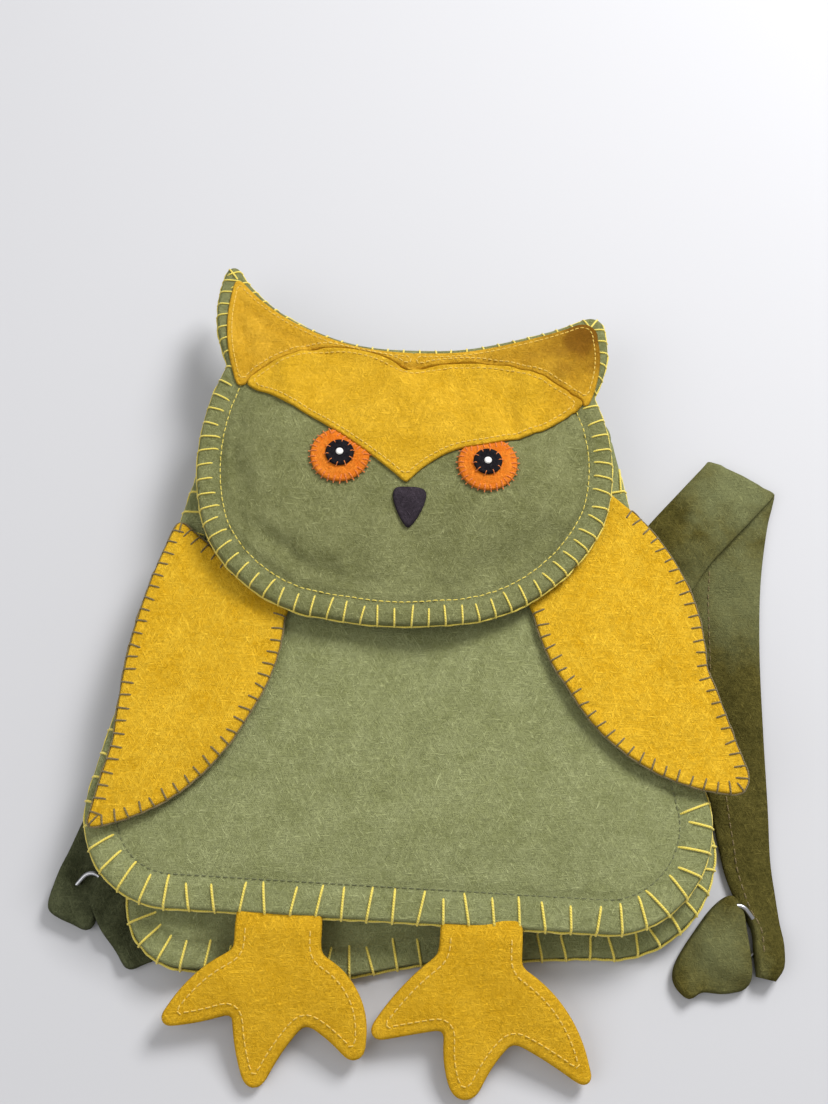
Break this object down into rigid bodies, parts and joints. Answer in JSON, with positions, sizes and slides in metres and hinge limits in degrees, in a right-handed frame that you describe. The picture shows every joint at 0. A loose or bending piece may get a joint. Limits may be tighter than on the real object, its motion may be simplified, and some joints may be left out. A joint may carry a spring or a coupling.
{
  "type": "owl backpack",
  "caption": "Handmade felt owl backpack lying on its back: head flap over the bag's mouth, loose wings and feet, padded felt straps with metal rings.",
  "frame": {"origin": "on the flat resting face of the back panel, on the bag's centreline", "axes": "+Z out of the bag's front, +Y to the head, +X to the right as seen from the front"},
  "size_m": [0.343, 0.4017, 0.046],
  "materials": {
    "green_felt": "thick handmade wool felt, moss green",
    "strap_felt": "thick handmade wool felt, olive green",
    "yellow_felt": "thick handmade wool felt, golden yellow",
    "orange_felt": "wool felt, orange",
    "dark_felt": "wool felt, dark aubergine",
    "pupil_felt": "wool felt, near black",
    "white_yarn": "white yarn knot",
    "yellow_yarn": "lemon yellow twisted yarn",
    "olive_yarn": "dark olive brown yarn",
    "ring_steel": "nickel plated steel wire"
  },
  "bodies": {
    "bag": {"back_panel": "green_felt", "top_band": "green_felt", "front_panel": "green_felt", "gusset": "green_felt", "front_seam_yarn": "yellow_yarn", "back_seam_yarn": "yellow_yarn", "snap_socket": "ring_steel", "snap_socket_washer": "ring_steel"},
    "head": {"head_lining": "green_felt", "head_front": "green_felt", "head_edge_yarn": "yellow_yarn", "brow": "yellow_felt", "left_ear_patch": "yellow_felt", "right_ear_patch": "yellow_felt", "left_eye": "orange_felt", "right_eye": "orange_felt", "left_pupil": "pupil_felt", "right_pupil": "pupil_felt", "left_eye_glint": "white_yarn", "right_eye_glint": "white_yarn", "beak": "dark_felt", "snap_stud": "ring_steel", "snap_stud_washer": "ring_steel"},
    "left_wing_flap": {"left_wing": "yellow_felt", "left_wing_yarn": "olive_yarn"},
    "right_wing_flap": {"right_wing": "yellow_felt", "right_wing_yarn": "olive_yarn"},
    "left_foot": {"left_foot_front": "yellow_felt", "left_foot_back": "yellow_felt"},
    "right_foot": {"right_foot_front": "yellow_felt", "right_foot_back": "yellow_felt"},
    "left_strap_loop": {"left_strap": "strap_felt", "left_tab": "strap_felt", "left_ring": "ring_steel"},
    "right_strap_loop": {"right_strap": "strap_felt", "right_tab": "strap_felt", "right_ring": "ring_steel"}
  },
  "joints": [
    {"name": "head_flap", "type": "hinge", "parent": "bag", "child": "head", "pos_m": [-0.005, 0.1214, 0.0346], "axis": [-1, 0, 0], "range_deg": [0, 90]},
    {"name": "left_wing_lift", "type": "hinge", "parent": "bag", "child": "left_wing_flap", "pos_m": [-0.086, 0.018, 0.0279], "axis": [-0.7203, 0.6936, 0], "range_deg": [0, 36]},
    {"name": "right_wing_lift", "type": "hinge", "parent": "bag", "child": "right_wing_flap", "pos_m": [0.083, 0.028, 0.0279], "axis": [-0.6347, -0.7727, 0], "range_deg": [0, 36]},
    {"name": "left_foot_lift", "type": "hinge", "parent": "bag", "child": "left_foot", "pos_m": [-0.0495, -0.1537, 0.022], "axis": [-1, 0, 0], "range_deg": [0, 100]},
    {"name": "right_foot_lift", "type": "hinge", "parent": "bag", "child": "right_foot", "pos_m": [0.0405, -0.1537, 0.022], "axis": [-1, 0, 0], "range_deg": [0, 100]},
    {"name": "left_strap_lift", "type": "hinge", "parent": "bag", "child": "left_strap_loop", "pos_m": [-0.1075, -0.064, 0.0025], "axis": [0.0511, 0.9987, 0], "range_deg": [0, 15]},
    {"name": "right_strap_lift", "type": "hinge", "parent": "bag", "child": "right_strap_loop", "pos_m": [0.1355, -0.05, 0.0025], "axis": [0.0748, -0.9972, 0], "range_deg": [0, 15]}
  ]
}
